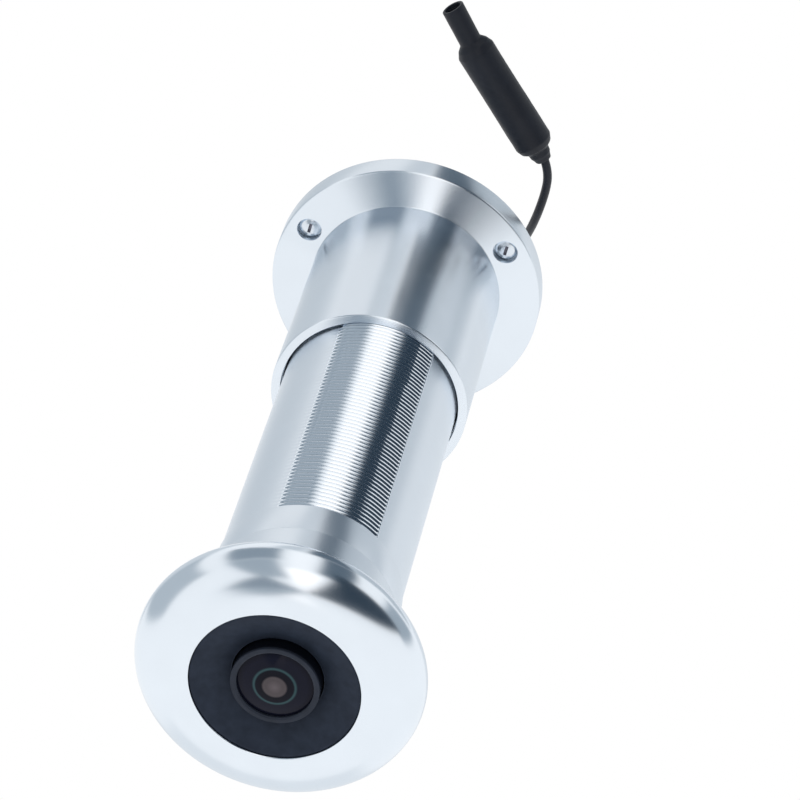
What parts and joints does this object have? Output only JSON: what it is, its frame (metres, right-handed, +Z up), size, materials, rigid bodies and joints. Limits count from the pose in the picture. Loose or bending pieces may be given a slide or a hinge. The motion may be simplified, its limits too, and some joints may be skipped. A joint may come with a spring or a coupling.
{
  "type": "door peephole camera",
  "caption": "Camera that fills a door's peephole: round outer head with a dished lens, threaded barrel, screwed inner clamp sleeve with a flange, and a short lead to a hanging antenna.",
  "frame": {"origin": "on the barrel's axis, in the plane where the head seats on the outside of the door", "axes": "+Y along the axis from the head through the door to the flange, +Z up, the lens looks along -Y and the antenna hangs along -Z"},
  "size_m": [0.0434, 0.1032, 0.048],
  "materials": {
    "bright_aluminium": "satin",
    "bezel_black": "matte",
    "black_rubber": "matte",
    "lens_black": "matte",
    "lens_grey": "satin",
    "lens_glass": "gloss",
    "filter_glass": "gloss",
    "holder_black": "matte",
    "sensor_grey": "gloss",
    "board_green": "gloss",
    "spacer_steel": "satin",
    "chip_black": "matte",
    "coil_grey": "matte",
    "plug_brass": "satin",
    "lead_black": "satin",
    "tube_copper": "satin",
    "core_white": "satin"
  },
  "bodies": {
    "camera": {"front_head": "bright_aluminium", "threaded_barrel": "bright_aluminium", "lens_bezel": "bezel_black", "bezel_seal": "black_rubber", "lens_barrel": "lens_black", "lens_ring": "lens_grey", "front_glass": "lens_glass", "rear_glass": "lens_glass", "lens_holder": "holder_black", "infrared_filter": "filter_glass", "image_sensor": "sensor_grey", "sensor_board": "board_green", "board_ring": "spacer_steel", "main_board": "board_green", "board_header": "chip_black", "processor": "chip_black", "flash_memory": "chip_black", "power_coil": "coil_grey", "radio_shield": "spacer_steel", "antenna_socket": "plug_brass", "lead_plug": "plug_brass", "lead_inside": "lead_black", "board_cradle_1": "holder_black", "board_cradle_2": "holder_black", "antenna_lead": "lead_black", "antenna_shrink": "lead_black", "antenna_tube": "tube_copper", "antenna_core": "core_white"},
    "bush": {"cable_bush": "black_rubber"},
    "sleeve": {"clamp_sleeve": "bright_aluminium", "rear_cover": "bright_aluminium", "cover_screw_1": "spacer_steel", "cover_screw_2": "spacer_steel", "cover_screw_3": "spacer_steel"}
  },
  "joints": [
    {"name": "sleeve_travel", "type": "slide", "parent": "camera", "child": "bush", "axis": [0, -1, 0], "range_m": [0, 0.02025]},
    {"name": "sleeve_turn", "type": "hinge", "parent": "bush", "child": "sleeve", "pos_m": [0, 0.0803, 0], "axis": [0, -1, 0], "range_deg": [0, 9720]}
  ],
  "couplings": [
    {"joint": "sleeve_travel", "follows": "sleeve_turn", "m_per_rad": 0.00011937}
  ]
}
